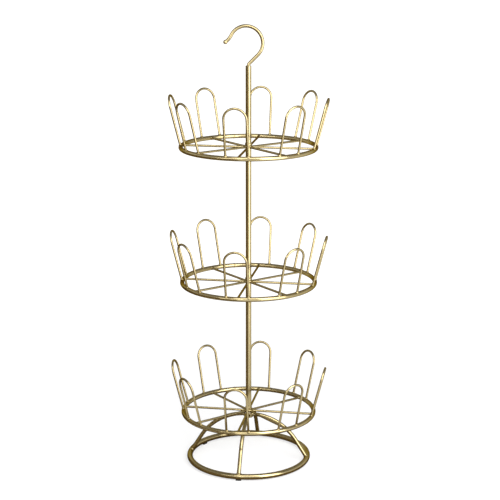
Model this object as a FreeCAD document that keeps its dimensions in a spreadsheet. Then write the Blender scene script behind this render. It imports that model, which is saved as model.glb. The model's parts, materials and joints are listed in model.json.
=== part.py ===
import FreeCAD, Part
import math
import os
import re

import Sketcher
from FreeCAD import Vector

# A round shoe drying rack of bent wire: three trays on a screwed pole that
# turns on a ring base, with a hanging hook at the top. Millimetres and degrees.
# The origin is on the floor under the pole, +Z is up, the hook opens towards -X.

SIZES = (
    # Trays
    ("tray_ring_diameter", 234, "tray ring across its centre line"),
    ("tray_wire", 8, "wire of a tray ring"),
    ("spoke_wire", 4, "wire of a spoke"),
    ("loops_per_tray", 8, "loops in a tray, each over the end of a spoke"),
    ("loop_wire", 4, "wire of a loop"),
    ("loop_width", 38.5, "loop across the centre lines of its two sides"),
    ("loop_length", 89, "loop from the ring's centre line to its crown, along the slope"),
    ("loop_lean", 14.5, "angle by which a loop leans out"),
    ("bottom_tray_height", 91.5, "floor to the centre of the lowest tray ring"),
    ("tray_pitch", 240.5, "one tray to the next"),
    ("hub_diameter", 12, "tray hub"),
    ("hub_height", 10, "tray hub"),
    ("hub_drop", 0.5, "tray hub's underside below the spokes"),
    ("hub_chamfer", 0.6, "broken edges of the turned hubs"),
    # Pole
    ("pole_diameter", 10, "pole tube outside"),
    ("pole_wall", 1, "pole tube wall"),
    ("upper_pole_length", 132.5, "tube above the top tray"),
    ("insert_length", 18, "threaded insert in a tube's end"),
    ("stud_diameter", 6, "joining studs"),
    ("stud_grip", 14, "stud inside an insert"),
    ("fit_clearance", 0.04, "round a pressed or screwed piece"),
    # Pivot
    ("spindle_diameter", 8, "journal that the tower turns on"),
    ("spindle_seat", 4, "spindle's head inside the lowest tray hub"),
    ("spindle_grip", 8, "stud inside the spindle"),
    ("spindle_tap_depth", 9, "threaded hole in the spindle's head"),
    ("spindle_recess", 0.5, "spindle's end above the underside of the base hub"),
    ("running_clearance", 0.05, "spindle to bush"),
    ("bush_wall", 1, "bush sleeve"),
    ("bush_flange_diameter", 13, "thrust flange of the bush"),
    ("bush_flange_thickness", 0.7, "thrust flange of the bush"),
    ("base_hub_diameter", 16, "boss that the legs are welded to"),
    ("base_hub_height", 9, "boss that the legs are welded to"),
    ("clip_recess_depth", 3, "recess for the circlip under the base hub"),
    ("clip_recess_clearance", 0.8, "circlip to the wall of its recess"),
    ("clip_thickness", 1, "circlip"),
    ("clip_width", 2, "circlip, across its band"),
    ("clip_groove_depth", 0.8, "circlip groove in the spindle"),
    ("clip_side_clearance", 0.05, "circlip in its groove, each side"),
    ("clip_play", 0.2, "bush to circlip"),
    ("clip_opening", 60, "angle of the circlip's gap"),
    # Base
    ("base_ring_diameter", 213, "base ring across its centre line"),
    ("base_wire", 10, "bar of the base ring"),
    ("leg_count", 4, "legs of the base"),
    ("leg_wire", 7, "wire of a leg"),
    ("leg_landing", 58, "slope of a leg where it meets the base ring"),
    ("pad_count", 3, "feet under the base ring"),
    ("pad_thickness", 2, "rubber between the base ring and the floor"),
    ("pad_length", 9, "foot along the ring"),
    ("pad_width", 6, "foot across the ring"),
    ("pad_bevel", 0.6, "broken lower edges of a foot"),
    ("pad_first_angle", 30, "place of the first foot"),
    # Hook
    ("hook_wire", 6, "wire of the hook"),
    ("hook_radius", 28.5, "bow of the hook, centre line"),
    ("hook_offset", 4, "centre of the bow from the pole, towards the mouth"),
    ("hook_neck", 45, "angle of the neck from upright"),
    ("hook_bend", 6, "bend at the foot of the neck, centre line"),
    ("hook_bow_sweep", 199, "angle of the bow"),
    ("hook_flare_radius", 30, "outward curve at the tip, centre line"),
    ("hook_flare_sweep", 30, "outward curve at the tip"),
    ("hook_shank", 16, "hook inside the pole"),
    ("hook_tip_diameter", 7.6, "ball at the tip"),
)

doc = FreeCAD.newDocument("shoe_drying_rack")
sheet = doc.addObject("Spreadsheet::Sheet", "Sizes")
for row, (alias, number, note) in enumerate(SIZES, start=1):
    sheet.set(f"A{row}", note)
    sheet.set(f"B{row}", str(number))
    sheet.setAlias(f"B{row}", alias)
doc.recompute()

# The numbers that a sketch gives to its two axes and to the points of a line or an arc.
ACROSS_AXIS, UPRIGHT_AXIS = -1, -2
START, END, CENTRE = 1, 2, 3
ORIGIN_POINT = (ACROSS_AXIS, START)

ALIASES = {alias for alias, _, _ in SIZES}
LEAST_CUT = 1e-3
pieces = {}


def formula(text):
    """Point every size that a formula names at its cell."""
    return re.sub(r"[a-z_]+", lambda word: f"Sizes.{word[0]}" if word[0] in ALIASES else word[0], text)


def value(text):
    """The number that a formula gives now."""
    return float(sheet.evalExpression(formula(text)))


def new_body(label):
    """An empty body with a name of its own."""
    body = doc.addObject("PartDesign::Body", label)
    body.Label = label
    return body


def origin(body, role):
    """One of the body's own origin planes or axes."""
    return next(feature for feature in body.Origin.OriginFeatures if feature.Role == role)


def new_sketch(body, name, role):
    """A sketch on one of the body's own origin planes."""
    sketch = body.newObject("Sketcher::SketchObject", name)
    sketch.AttachmentSupport = (origin(body, role), [""])
    sketch.MapMode = "FlatFace"
    return sketch


def dimension(sketch, text, kind, *where):
    """A dimension bound to a formula of sizes."""
    number = value(text)
    if kind == "Angle":
        number = math.radians(number)
    index = sketch.addConstraint(Sketcher.Constraint(kind, *where, number))
    sketch.setExpression(f"Constraints[{index}]", formula(text))


def rule(sketch, *constraint):
    """A constraint that has no size."""
    sketch.addConstraint(Sketcher.Constraint(*constraint))


def pin(sketch, geometry, point, across, up):
    """Hold a point at two formulas, measured from the sketch's origin."""
    for kind, axis, text in (("DistanceX", UPRIGHT_AXIS, across), ("DistanceY", ACROSS_AXIS, up)):
        if text == "0":
            rule(sketch, "PointOnObject", geometry, point, axis)
        else:
            dimension(sketch, text, kind, *ORIGIN_POINT, geometry, point)


def outline(sketch, corners):
    """A closed outline of straight lines through corners given as formulas."""
    points = [Vector(value(across), value(up), 0) for across, up in corners]
    following = points[1:] + points[:1]
    lines = [sketch.addGeometry(Part.LineSegment(*ends)) for ends in zip(points, following)]
    for line, after in zip(lines, lines[1:] + lines[:1]):
        rule(sketch, "Coincident", line, END, after, START)
    for line, (across, up) in zip(lines, corners):
        pin(sketch, line, START, across, up)


def circle(sketch, diameter, across="0", up="0"):
    """A whole circle, held by its centre and its diameter."""
    centre = Vector(value(across), value(up), 0)
    index = sketch.addGeometry(Part.Circle(centre, Vector(0, 0, 1), value(diameter) / 2))
    pin(sketch, index, CENTRE, across, up)
    dimension(sketch, diameter, "Diameter", index)


def add_line(sketch, start, end):
    """A straight run of a path."""
    return sketch.addGeometry(Part.LineSegment(Vector(*start), Vector(*end)))


def add_arc(sketch, centre, radius, start, end):
    """An arc, anticlockwise from one angle to another."""
    whole = Part.Circle(Vector(*centre), Vector(0, 0, 1), radius)
    return sketch.addGeometry(Part.ArcOfCircle(whole, math.radians(start), math.radians(end)))


def turn(body, kind, sketch, angle="360"):
    """A Revolution or a Groove of a sketch round the upright axis."""
    feature = body.newObject(f"PartDesign::{kind}", kind)
    feature.Profile = sketch
    feature.ReferenceAxis = (sketch, ["V_Axis"])
    feature.Midplane = True
    feature.setExpression("Angle", formula(angle))
    return feature


def cut(body, sketch):
    """Groove a body all round, and make sure that the groove took something away."""
    doc.recompute()
    before = body.Shape.Volume
    turn(body, "Groove", sketch)
    doc.recompute()
    if body.Shape.Volume > before - LEAST_CUT:
        raise RuntimeError(f"the groove {sketch.Name} cut nothing")


def seat_on_ring(body, ring_diameter, wire, up="0"):
    """Cope a wire's end to the round of the ring that it is welded to."""
    sketch = new_sketch(body, "ring_seat", "XZ_Plane")
    circle(sketch, wire, f"{ring_diameter} / 2", up)
    cut(body, sketch)


def seat_on_hub(body, diameter, bottom, top):
    """Cope a wire's end to the round of a hub."""
    sketch = new_sketch(body, "hub_seat", "XZ_Plane")
    outline(sketch, (("0", bottom), (f"{diameter} / 2", bottom), (f"{diameter} / 2", top), ("0", top)))
    cut(body, sketch)


def bent_wire(body, path, wire):
    """A round wire along a sketched path, started square to the path's first edge."""
    edges = [f"Edge{index + 1}" for index in range(path.GeometryCount)]
    section = body.newObject("Sketcher::SketchObject", "section")
    section.AttachmentSupport = (path, [edges[0]])
    section.MapMode = "NormalToEdge"
    circle(section, wire)
    doc.recompute()
    pipe = body.newObject("PartDesign::AdditivePipe", "wire")
    pipe.Profile = section
    pipe.Spine = (path, edges)
    return pipe


def place(piece, up, angle="0"):
    """Stand a piece at a height and turn it round the pole."""
    stance = f"placement(vector(0; 0; {up}); rotation(vector(0; 0; 1); {angle}))"
    piece.setExpression("Placement", formula(stance))


def keep(piece, up="0", angle="0"):
    """Place a finished piece and count it as a part of the rack."""
    place(piece, up, angle)
    pieces[piece.Label] = piece
    return piece


def twin(original, label, up="0", angle="0"):
    """Another piece of the same pattern, placed by itself."""
    body = new_body(label)
    copy = body.newObject("PartDesign::FeatureBase", "pattern")
    copy.BaseFeature = original
    body.Tip = copy
    return keep(body, up, angle)


def set_of(make, labels, places):
    """Make the first of some alike pieces, and the others as its twins."""
    original = make(labels[0])
    keep(original, *places[0])
    for label, (up, angle) in zip(labels[1:], places[1:]):
        twin(original, label, up, angle)


def turned(label, corners, angle="360"):
    """A piece turned on a lathe, from half of its section."""
    body = new_body(label)
    sketch = new_sketch(body, "section", "XZ_Plane")
    outline(sketch, corners)
    turn(body, "Revolution", sketch, angle)
    return body


def ring(label, diameter, wire):
    """A wire ring, butt welded."""
    torus = doc.addObject("Part::Torus", label)
    torus.Label = label
    torus.setExpression("Radius1", formula(f"{diameter} / 2"))
    torus.setExpression("Radius2", formula(f"{wire} / 2"))
    return torus


# Heights that several pieces share.
TRAY_NAMES = ("bottom", "middle", "top")
TRAY_UP = [f"(bottom_tray_height + {index} * tray_pitch)" for index in range(len(TRAY_NAMES))]
HUB_UP = [f"({up} - spoke_wire / 2 - hub_drop)" for up in TRAY_UP]
POLE_NAMES = ("lower_pole", "middle_pole", "upper_pole")
POLE_UP = [f"({up} + hub_height)" for up in HUB_UP]
POLE_LENGTH = ["(tray_pitch - hub_height)", "(tray_pitch - hub_height)", "upper_pole_length"]
POLE_TOP = f"({POLE_UP[-1]} + upper_pole_length)"
BASE_HUB_TOP = f"({HUB_UP[0]} - bush_flange_thickness)"
BASE_RING_UP = "(pad_thickness + base_wire / 2)"

# Radii that fit in one another, from the pole's axis outwards.
STUD_BORE = "(stud_diameter / 2 + fit_clearance)"
BUSH_BORE = "(spindle_diameter / 2 + running_clearance)"
BUSH_SLEEVE = f"({BUSH_BORE} + bush_wall)"
CLIP_BORE = "(spindle_diameter / 2 - clip_groove_depth)"
CLIP_RIM = f"({CLIP_BORE} + clip_width)"
CLIP_TOP = "(clip_recess_depth - base_hub_height - clip_play)"


def spokes(label):
    """The spokes of a tray, butted between the hub and the inside of the ring."""
    body = new_body(label)
    section = new_sketch(body, "section", "YZ_Plane")
    root = "sqrt(pow(hub_diameter / 2; 2) - pow(spoke_wire / 2; 2))"
    section.setExpression("AttachmentOffset.Base.z", formula(root))
    circle(section, "spoke_wire")
    spoke = body.newObject("PartDesign::Pad", "spoke")
    spoke.Profile = section
    spoke.setExpression("Length", formula(f"tray_ring_diameter / 2 - {root}"))
    doc.recompute()
    wheel = body.newObject("PartDesign::PolarPattern", "wheel")
    wheel.Originals = [spoke]
    wheel.Axis = (origin(body, "Z_Axis"), [""])
    wheel.Angle = 360
    wheel.setExpression("Occurrences", formula("loops_per_tray"))
    body.Tip = wheel
    seat_on_ring(body, "tray_ring_diameter", "tray_wire")
    seat_on_hub(body, "hub_diameter", "-spoke_wire", "spoke_wire")
    return body


def loop(label):
    """A wire loop that holds one shoe, leaning out, with both feet on top of the ring."""
    body = new_body(label)
    path = new_sketch(body, "path", "YZ_Plane")
    crest_of_ring = "sqrt(pow(tray_ring_diameter / 2; 2) - pow(loop_width / 2; 2))"
    lean = f"placement(vector(0; 0; {crest_of_ring}); rotation(vector(1; 0; 0); loop_lean))"
    path.setExpression("AttachmentOffset", formula(lean))
    half = value("loop_width / 2")
    shoulder = value("loop_length - loop_width / 2")
    left = add_line(path, (-half, 0), (-half, shoulder))
    crown = add_arc(path, (0, shoulder), half, 0, 180)
    right = add_line(path, (half, shoulder), (half, 0))
    for side in (left, right):
        rule(path, "Vertical", side)
    rule(path, "Tangent", left, END, crown, END)
    rule(path, "Tangent", crown, START, right, START)
    rule(path, "PointOnObject", crown, CENTRE, UPRIGHT_AXIS)
    rule(path, "PointOnObject", left, START, ACROSS_AXIS)
    rule(path, "PointOnObject", right, END, ACROSS_AXIS)
    dimension(path, "loop_width / 2", "Radius", crown)
    dimension(path, "loop_length - loop_width / 2", "DistanceY", *ORIGIN_POINT, crown, CENTRE)
    bent_wire(body, path, "loop_wire")
    seat_on_ring(body, "tray_ring_diameter", "tray_wire")
    return body


def tray_hub(label, underside):
    """A tray hub with broken edges, bored for the stud, with an underside of its own."""
    rim = "hub_diameter / 2"
    return turned(label, (
        (STUD_BORE, "hub_height"),
        (f"{rim} - hub_chamfer", "hub_height"),
        (rim, "hub_height - hub_chamfer"),
        (rim, "hub_chamfer"),
        (f"{rim} - hub_chamfer", "0"),
        *underside,
    ))


def plain_hub(label):
    """A hub clamped between two pole tubes."""
    return tray_hub(label, ((STUD_BORE, "0"),))


def pivot_hub(label):
    """The lowest hub, counterbored below for the head of the spindle."""
    seat = "spindle_diameter / 2 + fit_clearance"
    return tray_hub(label, ((seat, "0"), (seat, "spindle_seat"), (STUD_BORE, "spindle_seat")))


def tube(label, length):
    """A pole tube."""
    body = new_body(label)
    section = new_sketch(body, "section", "XY_Plane")
    circle(section, "pole_diameter")
    circle(section, "pole_diameter - 2 * pole_wall")
    pad = body.newObject("PartDesign::Pad", "tube")
    pad.Profile = section
    pad.setExpression("Length", formula(length))
    return body


def insert(label):
    """A threaded insert pressed into the end of a tube."""
    outside = "pole_diameter / 2 - pole_wall - fit_clearance"
    return turned(label, (
        (STUD_BORE, "0"),
        (outside, "0"),
        (outside, "insert_length"),
        (STUD_BORE, "insert_length"),
    ))


def stud(label, length):
    """A threaded stud that draws two pieces of the pole together."""
    rod = doc.addObject("Part::Cylinder", label)
    rod.Label = label
    rod.setExpression("Radius", formula("stud_diameter / 2"))
    rod.setExpression("Height", formula(length))
    return rod


def base_hub(label):
    """The boss of the base: bored for the bush, recessed below for the circlip."""
    rim = "base_hub_diameter / 2"
    bore = f"{BUSH_SLEEVE} + fit_clearance"
    recess = f"{CLIP_RIM} + clip_recess_clearance"
    ceiling = "clip_recess_depth - base_hub_height"
    return turned(label, (
        (bore, "0"),
        (f"{rim} - hub_chamfer", "0"),
        (rim, "-hub_chamfer"),
        (rim, "hub_chamfer - base_hub_height"),
        (f"{rim} - hub_chamfer", "-base_hub_height"),
        (recess, "-base_hub_height"),
        (recess, ceiling),
        (bore, ceiling),
    ))


def pivot_bush(label):
    """A flanged nylon bush: the sleeve guides the spindle, the flange carries the tower."""
    bottom = "clip_recess_depth - base_hub_height"
    flange = "bush_flange_diameter / 2"
    return turned(label, (
        (BUSH_BORE, "bush_flange_thickness"),
        (flange, "bush_flange_thickness"),
        (flange, "0"),
        (BUSH_SLEEVE, "0"),
        (BUSH_SLEEVE, bottom),
        (BUSH_BORE, bottom),
    ))


def pivot_spindle(label):
    """The journal under the tower: tapped at the top, grooved for a circlip at the bottom."""
    journal = "spindle_diameter / 2"
    head = "bush_flange_thickness + spindle_seat"
    bottom = "spindle_recess - base_hub_height"
    groove_top = f"{CLIP_TOP} + clip_side_clearance"
    groove_bottom = f"{CLIP_TOP} - clip_thickness - clip_side_clearance"
    groove = f"{CLIP_BORE} - fit_clearance"
    return turned(label, (
        ("0", bottom),
        (journal, bottom),
        (journal, groove_bottom),
        (groove, groove_bottom),
        (groove, groove_top),
        (journal, groove_top),
        (journal, head),
        (STUD_BORE, head),
        (STUD_BORE, f"{head} - spindle_tap_depth"),
        ("0", f"{head} - spindle_tap_depth"),
    ))


def pivot_circlip(label):
    """An open spring ring that keeps the spindle in the base hub."""
    lower = f"{CLIP_TOP} - clip_thickness"
    corners = ((CLIP_BORE, lower), (CLIP_RIM, lower), (CLIP_RIM, CLIP_TOP), (CLIP_BORE, CLIP_TOP))
    return turned(label, corners, "360 - clip_opening")


def leg(label):
    """A leg: level at the hub, bent down in one sweep and straight on to the base ring."""
    body = new_body(label)
    path = new_sketch(body, "path", "XZ_Plane")
    root = "base_hub_diameter / 2 - leg_wire / 2"
    crest = f"{BASE_HUB_TOP} - leg_wire / 2"
    foot = (value("base_ring_diameter / 2"), value(BASE_RING_UP))
    slope = math.radians(value("leg_landing"))
    reach = foot[0] - value(root)
    drop = value(crest) - foot[1]
    radius = (math.tan(slope) * reach - drop) / (math.tan(slope) * math.sin(slope) - 1 + math.cos(slope))
    centre = (value(root), value(crest) - radius)
    knee = (centre[0] + radius * math.sin(slope), centre[1] + radius * math.cos(slope))
    sweep = add_arc(path, centre, radius, 90 - value("leg_landing"), 90)
    shin = add_line(path, knee, foot)
    pin(path, sweep, END, root, crest)
    dimension(path, root, "DistanceX", *ORIGIN_POINT, sweep, CENTRE)
    rule(path, "Tangent", sweep, START, shin, START)
    pin(path, shin, END, "base_ring_diameter / 2", BASE_RING_UP)
    dimension(path, "leg_landing", "Angle", sweep)
    bent_wire(body, path, "leg_wire")
    seat_on_ring(body, "base_ring_diameter", "base_wire", BASE_RING_UP)
    seat_on_hub(body, "base_hub_diameter", f"{BASE_HUB_TOP} - base_hub_height", BASE_HUB_TOP)
    return body


def foot_pad(label):
    """A rubber foot, moulded to the underside of the base ring."""
    inner = "(base_ring_diameter / 2 - pad_width / 2)"
    outer = "(base_ring_diameter / 2 + pad_width / 2)"
    body = turned(
        label,
        (
            (f"{inner} + pad_bevel", "0"),
            (f"{outer} - pad_bevel", "0"),
            (outer, "pad_bevel"),
            (outer, BASE_RING_UP),
            (inner, BASE_RING_UP),
            (inner, "pad_bevel"),
        ),
        "pad_length / (base_ring_diameter / 2) * 180 / pi",
    )
    seat_on_ring(body, "base_ring_diameter", "base_wire", BASE_RING_UP)
    return body


def hanging_hook(label):
    """The hook: a shank in the pole, a slanted neck, a round bow and a flared tip with a ball."""
    body = new_body(label)
    path = new_sketch(body, "path", "XZ_Plane")
    neck = math.radians(value("hook_neck"))
    bend, bow, flare = value("hook_bend"), value("hook_radius"), value("hook_flare_radius")
    offset = value("hook_offset")
    kink = bend * math.tan(neck / 2)
    bow_up = kink + (bow - offset * math.cos(neck)) / math.sin(neck)
    neck_start = (kink * math.sin(neck), kink + kink * math.cos(neck))
    neck_end = (bow * math.cos(neck) - offset, bow_up - bow * math.sin(neck))
    bow_finish = value("hook_bow_sweep - hook_neck")
    tip_centre = (
        (bow + flare) * math.cos(math.radians(bow_finish)) - offset,
        (bow + flare) * math.sin(math.radians(bow_finish)) + bow_up,
    )
    shank = add_line(path, (0, -value("hook_shank")), (0, 0))
    corner = add_arc(path, (bend, 0), bend, 180 - value("hook_neck"), 180)
    rise = add_line(path, neck_start, neck_end)
    round_bow = add_arc(path, (-offset, bow_up), bow, -value("hook_neck"), bow_finish)
    start = bow_finish + 180
    lip = add_arc(path, tip_centre, flare, start - value("hook_flare_sweep"), start)
    pin(path, shank, START, "0", "-hook_shank")
    pin(path, shank, END, "0", "0")
    rule(path, "Tangent", shank, END, corner, END)
    rule(path, "Tangent", corner, START, rise, START)
    rule(path, "Tangent", rise, END, round_bow, START)
    rule(path, "Tangent", round_bow, END, lip, END)
    dimension(path, "hook_bend", "Radius", corner)
    dimension(path, "hook_neck", "Angle", corner)
    dimension(path, "-hook_offset", "DistanceX", *ORIGIN_POINT, round_bow, CENTRE)
    dimension(path, "hook_radius", "Radius", round_bow)
    dimension(path, "hook_bow_sweep", "Angle", round_bow)
    dimension(path, "hook_flare_radius", "Radius", lip)
    dimension(path, "hook_flare_sweep", "Angle", lip)
    bent_wire(body, path, "hook_wire")
    doc.recompute()
    tip = path.Geometry[lip].StartPoint
    end_of_wire = Vector(tip.x, 0, tip.y)
    gaps = [corner.Point.distanceToPoint(end_of_wire) for corner in path.Shape.Vertexes]
    ball = body.newObject("PartDesign::AdditiveSphere", "tip_ball")
    ball.AttachmentSupport = (path, [f"Vertex{gaps.index(min(gaps)) + 1}"])
    ball.MapMode = "Translate"
    ball.setExpression("Radius", formula("hook_tip_diameter / 2"))
    return body


# The base, which stays still.
keep(ring("base_ring", "base_ring_diameter", "base_wire"), BASE_RING_UP)
keep(base_hub("base_hub"), BASE_HUB_TOP)
keep(pivot_bush("pivot_bush"), BASE_HUB_TOP)
leg_total = int(value("leg_count"))
set_of(
    leg,
    [f"base_leg_{index + 1}" for index in range(leg_total)],
    [("0", f"{index} * 360 / leg_count") for index in range(leg_total)],
)
pad_total = int(value("pad_count"))
set_of(
    foot_pad,
    [f"foot_pad_{index + 1}" for index in range(pad_total)],
    [("0", f"pad_first_angle + {index} * 360 / pad_count") for index in range(pad_total)],
)

# The tower, which turns on the base.
keep(pivot_spindle("pivot_spindle"), BASE_HUB_TOP)
keep(pivot_circlip("pivot_circlip"), BASE_HUB_TOP)
keep(pivot_hub("bottom_tray_hub"), HUB_UP[0])
set_of(plain_hub, ["middle_tray_hub", "top_tray_hub"], [(HUB_UP[1], "0"), (HUB_UP[2], "0")])
for name, up in zip(TRAY_NAMES, TRAY_UP):
    keep(ring(f"{name}_tray_ring", "tray_ring_diameter", "tray_wire"), up)
set_of(spokes, [f"{name}_tray_spokes" for name in TRAY_NAMES], [(up, "0") for up in TRAY_UP])
loop_total = int(value("loops_per_tray"))
set_of(
    loop,
    [f"{name}_loop_{index + 1}" for name in TRAY_NAMES for index in range(loop_total)],
    [(up, f"{index} * 360 / loops_per_tray") for up in TRAY_UP for index in range(loop_total)],
)
for name, up, length in zip(POLE_NAMES, POLE_UP, POLE_LENGTH):
    keep(tube(name, length), up)
set_of(
    insert,
    [f"{name}_{end}_insert" for name in POLE_NAMES for end in ("bottom", "top")],
    [
        (height, "0")
        for up, length in zip(POLE_UP, POLE_LENGTH)
        for height in (up, f"{up} + {length} - insert_length")
    ],
)
keep(
    stud("bottom_stud", "spindle_grip + hub_height - spindle_seat + stud_grip"),
    f"{HUB_UP[0]} + spindle_seat - spindle_grip",
)
for name, up in zip(TRAY_NAMES[1:], HUB_UP[1:]):
    keep(stud(f"{name}_stud", "hub_height + 2 * stud_grip"), f"{up} - stud_grip")
keep(hanging_hook("hanging_hook"), POLE_TOP)

doc.recompute()
failed = [thing.Label for thing in doc.Objects if {"Invalid", "Error"} & set(thing.State)]
failed += [label for label, piece in pieces.items() if piece.Shape.isNull() or not piece.Shape.isValid()]
if failed:
    raise RuntimeError(f"these did not build: {', '.join(failed)}")

os.makedirs("parts", exist_ok=True)
for label, piece in pieces.items():
    piece.Shape.exportStep(f"parts/{label}.step")
print(f"{len(pieces)} pieces written")
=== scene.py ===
# %% [markdown]
# # A round wire shoe rack, dressed in gold
#
# The rack is steel wire and tube: three round trays of upright loops on a pole, a ring base under
# them and a hook on top. Its shape is already right in the solids that this script loads, so the
# lesson here is about what a solid leaves out: the weld at every crossing, the finish of lacquered
# wire, zinc, rubber and nylon, and how a metal object gets its form from what it reflects.
# Everything is in metres, +Z is up, and the origin is on the floor under the pole.

# %% Load the solids
import json
import math
import random

import bmesh
import bpy
from mathutils import Matrix, Vector


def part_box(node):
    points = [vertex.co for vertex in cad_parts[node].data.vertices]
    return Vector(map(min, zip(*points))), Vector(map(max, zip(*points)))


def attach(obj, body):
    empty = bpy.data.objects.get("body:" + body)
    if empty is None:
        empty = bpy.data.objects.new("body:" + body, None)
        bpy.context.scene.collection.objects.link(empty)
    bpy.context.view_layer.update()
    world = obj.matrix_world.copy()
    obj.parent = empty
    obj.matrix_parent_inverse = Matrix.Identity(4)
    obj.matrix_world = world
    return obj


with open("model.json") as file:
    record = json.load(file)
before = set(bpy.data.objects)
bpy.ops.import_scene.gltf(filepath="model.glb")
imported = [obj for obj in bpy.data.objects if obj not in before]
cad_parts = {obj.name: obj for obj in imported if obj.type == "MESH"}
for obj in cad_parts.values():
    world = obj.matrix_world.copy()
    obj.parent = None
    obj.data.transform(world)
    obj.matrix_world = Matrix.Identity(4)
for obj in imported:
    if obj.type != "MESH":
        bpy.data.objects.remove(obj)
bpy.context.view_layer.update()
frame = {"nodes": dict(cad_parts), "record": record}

# %% [markdown]
# ## Small tools for materials
#
# A colour picker shows sRGB, but a shader works in linear light, so one function turns a hex value
# into linear numbers. Patterns are measured on the real thing in millimetres, and a texture's scale
# is how often it repeats in a metre, so a second function turns one into the other. The third adds
# a node with its settings and its links, which is all that a node tree needs, and the last starts a
# material. A Mix node has several sockets of one name, so its colours, its factor and its mixture
# are given by their numbers.

# %% Colour, scale and node helpers
FACTOR, COLOUR_A, COLOUR_B = 0, 6, 7
MIXTURE = 2


def colour(hex_value):
    """An sRGB hex value as linear red, green, blue and alpha."""
    channels = [int(hex_value[place:place + 2], 16) / 255 for place in (1, 3, 5)]
    return [c / 12.92 if c <= 0.04045 else ((c + 0.055) / 1.055) ** 2.4 for c in channels] + [1.0]


def per_metre(millimetres):
    """The texture scale that gives a pattern of this size."""
    return 1000.0 / millimetres


def add(tree, kind, settings=None, links=None, **choices):
    """Add a node, with its choices, the values of its inputs and the links into them."""
    node = tree.nodes.new("ShaderNode" + kind)
    for name, choice in choices.items():
        setattr(node, name, choice)
    for name, number in (settings or {}).items():
        node.inputs[name].default_value = number
    for name, socket in (links or {}).items():
        tree.links.new(socket, node.inputs[name])
    return node


def new_material(name):
    """A material, its node tree and its main shader."""
    material = bpy.data.materials.new(name)
    material.use_nodes = True
    tree = material.node_tree
    return material, tree, tree.nodes["Principled BSDF"]


print("a grey of #808080 in linear light:", round(colour("#808080")[0], 3))

# %% [markdown]
# ## Gold lacquer on steel wire
#
# The wire is plated to a champagne gold and dipped in a tinted lacquer. Plating is a metal, so its
# colour is in its reflections: metallic is 1 and the base colour is the gold itself. At a wire's edge
# light crosses more of the lacquer, so the edge tint is a golden brown, and the coat's own white
# mirror is faint. A single flat gold would look like a computer's. Two things keep it from that:
# dipped lacquer dries with orange peel, a faint waviness about a millimetre and a half across, and
# the plating is a little warmer where it is thicker, over a few centimetres. The welds are under the
# same plating and lacquer, but weld metal freezes in ripples, so they are rougher.

# %% Gold lacquer
LACQUER_EDGE = "#827244"
LACQUER_COAT = 0.03


def gold_lacquer():
    # Champagne gold plating under tinted lacquer: satin highlights, browner towards a wire's edges.
    material, tree, shader = new_material("champagne_gold_lacquer")
    place = add(tree, "TexCoord").outputs["Object"]
    drift = add(tree, "TexNoise", {"Scale": per_metre(45), "Detail": 2.0}, {"Vector": place})
    gold = add(tree, "Mix", {COLOUR_A: colour("#90815a"), COLOUR_B: colour("#b8a981")},
               {FACTOR: drift.outputs["Fac"]}, data_type="RGBA")
    tree.links.new(gold.outputs[MIXTURE], shader.inputs["Base Color"])
    rub = add(tree, "TexNoise", {"Scale": per_metre(9), "Detail": 4.0, "Roughness": 0.6}, {"Vector": place})
    satin = add(tree, "MapRange", {"To Min": 0.14, "To Max": 0.2}, {"Value": rub.outputs["Fac"]})
    tree.links.new(satin.outputs["Result"], shader.inputs["Roughness"])
    peel = add(tree, "TexNoise", {"Scale": per_metre(1.5), "Detail": 1.0}, {"Vector": place})
    wavy = add(tree, "Bump", {"Strength": 0.03, "Distance": 0.0001}, {"Height": peel.outputs["Fac"]})
    tree.links.new(wavy.outputs["Normal"], shader.inputs["Normal"])
    shader.inputs["Metallic"].default_value = 1.0
    shader.inputs["Specular Tint"].default_value = colour(LACQUER_EDGE)
    shader.inputs["Coat Weight"].default_value = LACQUER_COAT
    shader.inputs["Coat Roughness"].default_value = 0.1
    return material


GOLD = gold_lacquer()
print("made", GOLD.name)

# %% Plated weld


def plated_weld():
    # Weld metal under the same plating: duller than the wire, with the ripple of its pool.
    material, tree, shader = new_material("gold_plated_weld")
    place = add(tree, "TexCoord").outputs["Object"]
    pool = add(tree, "TexNoise", {"Scale": per_metre(2.5), "Detail": 3.0}, {"Vector": place})
    gold = add(tree, "Mix", {COLOUR_A: colour("#84744c"), COLOUR_B: colour("#b8a97e")},
               {FACTOR: pool.outputs["Fac"]}, data_type="RGBA")
    tree.links.new(gold.outputs[MIXTURE], shader.inputs["Base Color"])
    satin = add(tree, "MapRange", {"To Min": 0.24, "To Max": 0.44}, {"Value": pool.outputs["Fac"]})
    tree.links.new(satin.outputs["Result"], shader.inputs["Roughness"])
    ripple = add(tree, "Bump", {"Strength": 0.3, "Distance": 0.0002}, {"Height": pool.outputs["Fac"]})
    tree.links.new(ripple.outputs["Normal"], shader.inputs["Normal"])
    shader.inputs["Metallic"].default_value = 1.0
    shader.inputs["Specular Tint"].default_value = colour(LACQUER_EDGE)
    shader.inputs["Coat Weight"].default_value = LACQUER_COAT
    shader.inputs["Coat Roughness"].default_value = 0.15
    return material


PLATED_WELD = plated_weld()
print("made", PLATED_WELD.name)

# %% [markdown]
# ## Zinc, rubber and nylon
#
# Only the feet, the pivot and what holds the pole together are something else. The studs, inserts,
# spindle and circlip are steel with a bright zinc plating, the feet are moulded rubber and the bush
# is nylon. Each could be one grey or black, but the real ones are cloudy, dusty and turned, so each
# has its own fine pattern. Most of them are inside the pole, where only an exploded view shows them.

# %% Zinc plating


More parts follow.
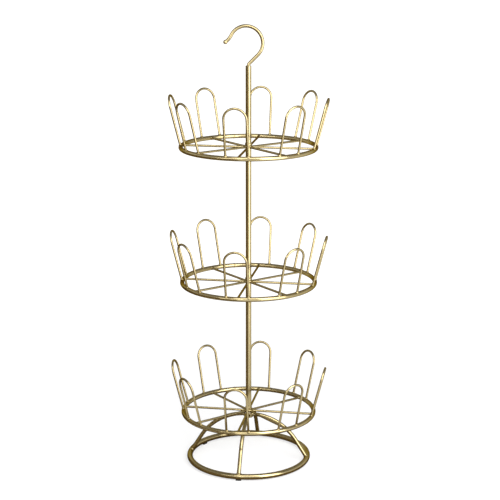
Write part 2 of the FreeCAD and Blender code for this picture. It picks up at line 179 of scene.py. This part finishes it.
def bright_zinc():
    # Electroplated zinc on steel: a cool grey metal with a faint cloud in its brightness.
    material, tree, shader = new_material("bright_zinc_plating")
    place = add(tree, "TexCoord").outputs["Object"]
    cloud = add(tree, "TexNoise", {"Scale": per_metre(3), "Detail": 3.0}, {"Vector": place})
    zinc = add(tree, "Mix", {COLOUR_A: colour("#8a9096"), COLOUR_B: colour("#d4d8da")},
               {FACTOR: cloud.outputs["Fac"]}, data_type="RGBA")
    tree.links.new(zinc.outputs[MIXTURE], shader.inputs["Base Color"])
    satin = add(tree, "MapRange", {"To Min": 0.28, "To Max": 0.42}, {"Value": cloud.outputs["Fac"]})
    tree.links.new(satin.outputs["Result"], shader.inputs["Roughness"])
    shader.inputs["Metallic"].default_value = 1.0
    return material


ZINC = bright_zinc()
print("made", ZINC.name)

# %% Rubber


def black_rubber():
    # Moulded rubber: nearly black, dull, with the fine grain of its mould and some grey bloom.
    material, tree, shader = new_material("moulded_black_rubber")
    place = add(tree, "TexCoord").outputs["Object"]
    bloom = add(tree, "TexNoise", {"Scale": per_metre(6), "Detail": 3.0}, {"Vector": place})
    rubber = add(tree, "Mix", {COLOUR_A: colour("#0e0e0e"), COLOUR_B: colour("#32302c")},
                 {FACTOR: bloom.outputs["Fac"]}, data_type="RGBA")
    tree.links.new(rubber.outputs[MIXTURE], shader.inputs["Base Color"])
    grain = add(tree, "TexNoise", {"Scale": per_metre(0.5), "Detail": 2.0}, {"Vector": place})
    rough = add(tree, "Bump", {"Strength": 0.4, "Distance": 0.00008}, {"Height": grain.outputs["Fac"]})
    tree.links.new(rough.outputs["Normal"], shader.inputs["Normal"])
    shader.inputs["Roughness"].default_value = 0.75
    shader.inputs["IOR"].default_value = 1.52
    return material


RUBBER = black_rubber()
print("made", RUBBER.name)

# %% Nylon
WAVE_PHASE = 20


def natural_nylon():
    # Turned nylon: milky and slightly warm, with the fine rings that the lathe leaves. They are drawn
    # 0.6 mm apart, coarser than a lathe cuts, so that they show. A wave's own phase is 20 per unit.
    material, tree, shader = new_material("turned_nylon")
    place = add(tree, "TexCoord").outputs["Object"]
    milk = add(tree, "TexNoise", {"Scale": per_metre(5), "Detail": 2.0}, {"Vector": place})
    nylon = add(tree, "Mix", {COLOUR_A: colour("#dcd6c8"), COLOUR_B: colour("#f4f1e8")},
                {FACTOR: milk.outputs["Fac"]}, data_type="RGBA")
    tree.links.new(nylon.outputs[MIXTURE], shader.inputs["Base Color"])
    rings = add(tree, "TexWave", {"Scale": per_metre(0.6) * math.tau / WAVE_PHASE, "Distortion": 0.5},
                {"Vector": place}, wave_type="RINGS", rings_direction="Z")
    turned = add(tree, "Bump", {"Strength": 0.15, "Distance": 0.00003}, {"Height": rings.outputs["Fac"]})
    tree.links.new(turned.outputs["Normal"], shader.inputs["Normal"])
    shader.inputs["Roughness"].default_value = 0.45
    shader.inputs["IOR"].default_value = 1.53
    return material


NYLON = natural_nylon()
print("made", NYLON.name)

# %% Finishes on the solids
FINISHES = {
    "gold_lacquered_steel": GOLD,
    "zinc_plated_steel": ZINC,
    "black_rubber": RUBBER,
    "white_nylon": NYLON,
}
for row in frame["record"]["subparts"]:
    frame["nodes"][row["node"]].material_slots[0].material = FINISHES[row["material_slot"]]

# %% [markdown]
# ## A weld bead
#
# Wires that cross on the real rack are welded, and each weld leaves a bead: a collar of metal that
# climbs a little way up the thinner wire and spreads on the round of the thicker one. The solids
# stop at a sharp line there. A torus would hover over the thick wire's flanks, so the bead is a
# short profile spun round the thin wire, and then every point is let down on to the thick wire's
# round. Its lowest row is under that surface and its top row inside the thin wire, so no edge shows.
# A bead needs only four rows of twelve faces, because there are dozens of them. Each is set with its
# points a little uneven, as no two welds are alike.

# %% A weld bead
MM = 0.001
BEAD_STEPS = 12
LOOP_WIRE = 2.0  # radius in millimetres, of the spokes too
RING_BAR = 4.0  # radius in millimetres


def as_mesh(name, bm):
    """A finished bmesh as a mesh."""
    mesh = bpy.data.meshes.new(name)
    bm.to_mesh(mesh)
    bm.free()
    return mesh


def spun(profile, steps):
    """A profile of radius and height in millimetres, spun round Z and closed at both ends."""
    bm = bmesh.new()
    chain = [bm.verts.new((radius * MM, 0.0, height * MM)) for radius, height in profile]
    edges = [bm.edges.new(pair) for pair in zip(chain, chain[1:])]
    bmesh.ops.spin(bm, geom=chain + edges, axis=(0, 0, 1), cent=(0, 0, 0), angle=math.tau, steps=steps,
                   use_merge=True)
    for face in bm.faces:
        face.smooth = True
    bmesh.ops.holes_fill(bm, edges=[edge for edge in bm.edges if edge.is_boundary], sides=0)
    bmesh.ops.recalc_face_normals(bm, faces=bm.faces)
    return bm


def weld_bead(wire, carrier, size):
    """A bead round a wire that stands on a thicker bar. The radii and the size are in millimetres."""
    profile = (
        (wire - 0.3, size + 0.4),  # hidden in the thin wire
        (wire + 0.15 * size, size),  # where the bead leaves that wire
        (wire + 0.7 * size, 0.6 * size),  # its round
        (wire + size, 0.0),  # its foot on the thick bar
        (wire + 0.5 * size, -0.6),  # hidden in the thick bar
    )
    bm = spun(profile, BEAD_STEPS)
    for vert in bm.verts:
        vert.co.z += math.sqrt((carrier * MM) ** 2 - vert.co.y ** 2)
    return as_mesh("weld_bead", bm)


LOOP_BEAD = weld_bead(wire=LOOP_WIRE, carrier=RING_BAR, size=1.3)
SPOKE_BEAD = weld_bead(wire=LOOP_WIRE, carrier=RING_BAR, size=1.2)
print("faces in a bead:", len(LOOP_BEAD.polygons))

# %% Setting a bead
UNEVEN = 0.02
chance = random.Random(24)


def stamp(bm, bead, root, along, beside):
    """Set a bead at a root on the thick bar's centre line: the wire goes along, the bar beside."""
    up = along.normalized()
    across = up.cross(beside).normalized()
    place = Matrix((across.cross(up), across, up)).transposed().to_4x4()
    place.translation = root
    settled = set(bm.verts)
    bm.from_mesh(bead)
    fresh = [vert for vert in bm.verts if vert not in settled]
    for vert in fresh:
        vert.co *= 1.0 + chance.uniform(-UNEVEN, UNEVEN)
    bmesh.ops.transform(bm, matrix=place, verts=fresh)


print("a bead's points are uneven by up to", UNEVEN * 100, "percent")

# %% [markdown]
# ## The trays' welds
#
# A tray has a bead at both feet of its eight loops and at the outer ends of its eight spokes. At the
# hub the spokes are so close that their welds run together into one ring, which is spun as a whole
# and then swells a little over each spoke. The ring itself was bent from one wire, and the short
# barrel of its butt weld is at the back, between two loops. The rings' places and the loops' width
# come from the solids' own boxes, so a bead is always where its wires cross.

# %% Butt weld and hub weld
LOOPS = 8
BARREL_STEPS = 16
HUB_STEPS = 48
SPOKE_SWELL, SWELL_ABOVE = 0.25, 1.0  # millimetres


def butt_weld(bm, bar, radius, height, angle):
    """Add the low barrel where a bent ring's two ends were joined."""
    # How far each row stands proud of the bar, and where along the bar it is, in millimetres.
    rows = ((-0.4, -1.8), (0.12, -1.3), (0.28, -0.5), (0.28, 0.5), (0.12, 1.3), (-0.4, 1.8))
    barrel = spun([(bar + proud, along) for proud, along in rows], BARREL_STEPS)
    lie_down = Matrix.Rotation(math.radians(90), 4, "X")
    move_out = Matrix.Translation((radius, 0, height))
    turn = Matrix.Rotation(angle, 4, "Z")
    bmesh.ops.transform(barrel, matrix=turn @ move_out @ lie_down, verts=barrel.verts)
    bm.from_mesh(as_mesh("butt_weld", barrel))


def hub_weld(bm, height):
    """Add the ring of weld that joins the roots of the spokes to their hub."""
    # Radius and height in millimetres, from inside the hub, over the spokes and back under the weld.
    corners = ((5.8, 3.1), (6.7, 3.0), (7.7, 2.3), (8.4, 1.2), (7.2, 0.2), (5.8, 0.2))
    ring = spun(corners, HUB_STEPS)
    for vert in ring.verts:
        if vert.co.z > SWELL_ABOVE * MM:
            over_spoke = 0.5 + 0.5 * math.cos(LOOPS * math.atan2(vert.co.y, vert.co.x))
            vert.co.z += SPOKE_SWELL * MM * over_spoke
    bmesh.ops.translate(ring, vec=(0, 0, height), verts=ring.verts)
    bm.from_mesh(as_mesh("hub_weld", ring))


print("degrees from spoke to spoke:", 360 / LOOPS)

# %% Welds of the trays
LOOP_LEAN = math.radians(14.5)
TRAY_BUTT_ANGLE = math.radians(112.5)
OUT = Vector((1.0, 0.0, 0.0))
UP = Vector((0.0, 0.0, 1.0))


def mesh_object(name, bm):
    """A finished bmesh as an object at the origin."""
    bmesh.ops.recalc_face_normals(bm, faces=bm.faces)
    piece = bpy.data.objects.new(name, as_mesh(name, bm))
    bpy.context.scene.collection.objects.link(piece)
    return piece


def turn_to(index, count):
    """The turn round the pole to one of so many equal places."""
    return Matrix.Rotation(index * math.tau / count, 3, "Z")


def ring_direction(point):
    """The way that a ring round the pole runs at a point."""
    return Vector((-point.y, point.x, 0.0))


for tray in ("bottom", "middle", "top"):
    low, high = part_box(f"{tray}_tray_ring")
    height = (low.z + high.z) / 2
    radius = high.x - RING_BAR * MM
    half_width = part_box(f"{tray}_loop_1")[1].y - LOOP_WIRE * MM
    bm = bmesh.new()
    for index in range(LOOPS):
        turn = turn_to(index, LOOPS)
        for side in (-half_width, half_width):
            foot = turn @ Vector((math.sqrt(radius ** 2 - side ** 2), side, height))
            rise = turn @ Vector((math.sin(LOOP_LEAN), 0.0, math.cos(LOOP_LEAN)))
            stamp(bm, LOOP_BEAD, foot, rise, ring_direction(foot))
        outward = turn @ OUT
        stamp(bm, SPOKE_BEAD, outward * radius + UP * height, -outward, ring_direction(outward))
    hub_weld(bm, height)
    butt_weld(bm, RING_BAR, radius, height, TRAY_BUTT_ANGLE)
    welds = mesh_object(f"{tray}_tray_welds", bm)
    welds.data.materials.append(PLATED_WELD)
    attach(welds, "tower")
    print(welds.name, len(welds.data.polygons), "faces")

# %% [markdown]
# ## The base's welds
#
# The four legs stand on the base ring with larger beads, because their wire is thicker, and meet the
# base hub in the middle. The tower turns just above that hub, so no bead may rise over its top face:
# a cut with a plane keeps them below it, and the cut is closed again.

# %% Welds of the base
LEGS = 4
LEG_WIRE, BASE_BAR, BASE_HUB = 3.5, 5.0, 8.0  # radii in millimetres
LEG_LANDING = math.radians(58.0)
BASE_BUTT_ANGLE = math.radians(120.0)
BELOW_HUB_TOP = 0.1  # millimetres
LEG_FOOT_BEAD = weld_bead(wire=LEG_WIRE, carrier=BASE_BAR, size=1.3)
LEG_ROOT_BEAD = weld_bead(wire=LEG_WIRE, carrier=BASE_HUB, size=1.2)

low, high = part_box("base_ring")
height = (low.z + high.z) / 2
radius = high.x - BASE_BAR * MM
hub_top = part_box("base_hub")[1].z
bm = bmesh.new()
for index in range(LEGS):
    stamp(bm, LEG_ROOT_BEAD, UP * (hub_top - LEG_WIRE * MM), turn_to(index, LEGS) @ OUT, UP)
bmesh.ops.bisect_plane(bm, geom=bm.verts[:] + bm.edges[:] + bm.faces[:],
                       plane_co=(0, 0, hub_top - BELOW_HUB_TOP * MM), plane_no=(0, 0, 1), clear_outer=True)
bmesh.ops.holes_fill(bm, edges=[edge for edge in bm.edges if edge.is_boundary], sides=0)
for index in range(LEGS):
    turn = turn_to(index, LEGS)
    foot = turn @ Vector((radius, 0.0, height))
    rise = turn @ Vector((-math.cos(LEG_LANDING), 0.0, math.sin(LEG_LANDING)))
    stamp(bm, LEG_FOOT_BEAD, foot, rise, ring_direction(foot))
butt_weld(bm, BASE_BAR, radius, height, BASE_BUTT_ANGLE)
base_welds = mesh_object("base_welds", bm)
base_welds.data.materials.append(PLATED_WELD)
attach(base_welds, "base")
print(base_welds.name, len(base_welds.data.polygons), "faces")

# %% [markdown]
# ## Camera
#
# The photograph looks down on the rack from a little to its right, through a long lens: the rings
# are flat ellipses, and the lower ones are only slightly rounder than the upper ones. The eye's
# distance and height follow from how the ellipses change from ring to ring, and the lens from the
# size of the whole.

# %% Camera
AZIMUTH = math.radians(9.53)
DISTANCE = 2.468
EYE_HEIGHT = 1.001
LOOK_DOWN = math.radians(13.92)
LOOK_RIGHT = math.radians(0.061)
LENS_MM = 104.25

camera = bpy.data.cameras.new("photo_camera")
camera.lens = LENS_MM
eye = bpy.data.objects.new("photo_camera", camera)
eye.location = (DISTANCE * math.sin(AZIMUTH), -DISTANCE * math.cos(AZIMUTH), EYE_HEIGHT)
eye.rotation_euler = (math.radians(90) - LOOK_DOWN, 0.0, AZIMUTH - LOOK_RIGHT)
bpy.context.scene.collection.objects.link(eye)
bpy.context.scene.camera = eye
print("eye", [round(v, 3) for v in eye.location], "lens", LENS_MM, "mm")

# %% [markdown]
# ## White floor
#
# The rack stands on a white sweep with a faint shadow. A floor that is only lit turns grey far from
# the lamps, and more lamps would bleach the metal. So the floor adds a little light of its own where
# the camera or a reflection sees it, less under the rack, where the shadow should stay, and more
# with the distance, until it is plain white.

# %% White floor
FLOOR_REACH = 40.0
SHADOW_REACH, WHITE_REACH = 0.35, 1.6
SHADOW_GLOW, WHITE_GLOW = 0.6, 1.0


def white_sweep():
    # Matt white paper: no shine, only a soft grey where the rack shades it.
    material, tree, shader = new_material("white_paper_sweep")
    shader.inputs["Base Color"].default_value = colour("#aaaaaa")
    shader.inputs["Roughness"].default_value = 0.9
    shader.inputs["Specular IOR Level"].default_value = 0.0
    place = add(tree, "TexCoord").outputs["Object"]
    away = add(tree, "VectorMath", links={0: place}, operation="LENGTH")
    reach = {"From Min": SHADOW_REACH, "From Max": WHITE_REACH, "To Min": SHADOW_GLOW, "To Max": WHITE_GLOW}
    glow = add(tree, "MapRange", reach, {"Value": away.outputs["Value"]})
    ray = add(tree, "LightPath").outputs
    seen = add(tree, "Math", links={0: ray["Is Camera Ray"], 1: ray["Is Glossy Ray"]}, operation="MAXIMUM")
    shown = add(tree, "Math", links={0: seen.outputs[0], 1: ray["Is Transmission Ray"]},
                operation="MAXIMUM")
    lift = add(tree, "Math", links={0: shown.outputs[0], 1: glow.outputs["Result"]}, operation="MULTIPLY")
    tree.links.new(lift.outputs[0], shader.inputs["Emission Strength"])
    shader.inputs["Emission Color"].default_value = colour("#ffffff")
    return material


bm = bmesh.new()
bmesh.ops.create_grid(bm, x_segments=1, y_segments=1, size=FLOOR_REACH)
floor = mesh_object("floor", bm)
floor.data.materials.append(white_sweep())
print("floor", floor.dimensions.x, "m across")

# %% [markdown]
# ## Light
#
# Wire shows nothing of its own: it is a mirror that is bent round, and its shape is read from a
# bright stripe beside a dark one. An upright wire, seen from above, mirrors what is lower than
# itself, and a level ring mirrors what is higher, so the two can be lit apart. A tall softbox at the
# right gives every upright a cream stripe right of its middle, and one overhead and one at the left,
# both higher than the rack, give the rings theirs.

# %% Softboxes


def around(angle, distance, height):
    """A place round the pole: angle 0 is towards the camera, positive to its right."""
    turn = AZIMUTH + math.radians(angle)
    return Vector((distance * math.sin(turn), -distance * math.cos(turn), height))


def softbox(name, size, place, aim, radiance):
    """A lamp with a face of this size, aimed at a height on the pole, that looks this bright in front."""
    lamp = bpy.data.lights.new(name, "AREA")
    lamp.shape = "RECTANGLE"
    lamp.size, lamp.size_y = size
    lamp.energy = radiance * math.pi * size[0] * size[1]
    box = bpy.data.objects.new(name, lamp)
    box.location = place
    box.rotation_mode = "QUATERNION"
    box.rotation_quaternion = (UP * aim - place).to_track_quat("-Z", "Y")
    box.visible_camera = False
    bpy.context.scene.collection.objects.link(box)
    print(name, round(lamp.energy, 1), "W")


softbox("key_softbox", size=(0.7, 1.3), place=around(40, 0.9, 0.67), aim=0.5, radiance=4.6)
softbox("top_softbox", size=(1.6, 1.3), place=around(8, 1.1, 1.75), aim=0.35, radiance=3.4)
softbox("fill_softbox", size=(1.8, 0.6), place=around(-30, 2.4, 1.05), aim=0.4, radiance=4.4)

# %% [markdown]
# ## Felt for the dark side: painted dark reflections
#
# On a white floor between white walls a wire has no dark side to mirror, and darker gold would dull
# its bright stripe too. So a low card of brown felt, which rises from the floor at the left, gives
# the uprights their dark side, and a felt mat gives the rings a dark lower edge. The floor is white
# in the picture, so only reflections may see the felt. The card is a painted dark reflection, and the
# mat is painted shade under the rack that only reflections show.

# %% Felt card and mat: painted dark reflection and painted shade
CARD_START, CARD_END = -134, -18  # degrees round the pole, as in around
CARD_NEAR, CARD_FAR, CARD_HEIGHT = 0.3, 1.5, 0.63
CARD_STEPS = 24
MAT_RADIUS = 0.22
MAT_SIDES = 48
FELT_THICKNESS = 0.0005


def painted_dark_reflection_felt():
    # Wool felt: dull, dark brown and without any shine. Only reflections see it: a painted dark reflection.
    material, _, shader = new_material("painted_dark_reflection_felt")
    shader.inputs["Base Color"].default_value = colour("#7c6d50")
    shader.inputs["Roughness"].default_value = 1.0
    shader.inputs["Specular IOR Level"].default_value = 0.0
    return material


def only_reflected(name, bm, material):
    """A piece of the studio that reflections see, and the camera, shadows and soft light don't."""
    piece = mesh_object(name, bm)
    piece.data.materials.append(material)
    piece.visible_camera = False
    piece.visible_shadow = False
    piece.visible_diffuse = False
    print(name, [round(v, 2) for v in piece.dimensions], "m")


PAINTED_DARK_REFLECTION = painted_dark_reflection_felt()
# The card at the left is a painted dark reflection: only reflections see it, as the uprights' dark side.
bm = bmesh.new()
near = bm.verts.new(around(CARD_START, CARD_NEAR, FELT_THICKNESS))
far = bm.verts.new(around(CARD_START, CARD_FAR, CARD_HEIGHT))
slope = bm.edges.new((near, far))
bmesh.ops.spin(bm, geom=[near, far, slope], axis=(0, 0, 1), cent=(0, 0, 0),
               angle=math.radians(CARD_END - CARD_START), steps=CARD_STEPS)
only_reflected("left_dark_reflection_card", bm, PAINTED_DARK_REFLECTION)

# The mat is painted shade under the rack: only reflections see it, as the rings' dark lower edge.
bm = bmesh.new()
bmesh.ops.create_circle(bm, cap_ends=True, segments=MAT_SIDES, radius=MAT_RADIUS)
bmesh.ops.translate(bm, vec=(0, 0, FELT_THICKNESS), verts=bm.verts)
only_reflected("painted_shade_mat", bm, PAINTED_DARK_REFLECTION)

# %% [markdown]
# ## The room
#
# The world stands for the room. One white all round would also fill the wires from straight above,
# where the softboxes should draw their stripes. So it is white along the walls, which a low view
# shows behind the rack, and darker overhead. How steep a direction is, from 0 for level to 1 for
# straight up, is the Z of that direction.

# %% World
WALL_TOP, CEILING = 0.3, 0.6
WALL_LIGHT, CEILING_LIGHT = 1.0, 0.4

world = bpy.data.worlds.new("studio")
world.use_nodes = True
tree = world.node_tree
background = tree.nodes["Background"]
direction = add(tree, "TexCoord").outputs["Generated"]
steepness = add(tree, "SeparateXYZ", links={"Vector": direction}).outputs["Z"]
wall_to_ceiling = {"From Min": WALL_TOP, "From Max": CEILING,
                   "To Min": WALL_LIGHT, "To Max": CEILING_LIGHT}
room = add(tree, "MapRange", wall_to_ceiling, {"Value": steepness}, interpolation_type="SMOOTHSTEP")
tree.links.new(room.outputs["Result"], background.inputs["Strength"])
background.inputs["Color"].default_value = colour("#ffffff")
bpy.context.scene.world = world
bpy.context.scene.view_settings.view_transform = "Standard"
print("world:", world.name)
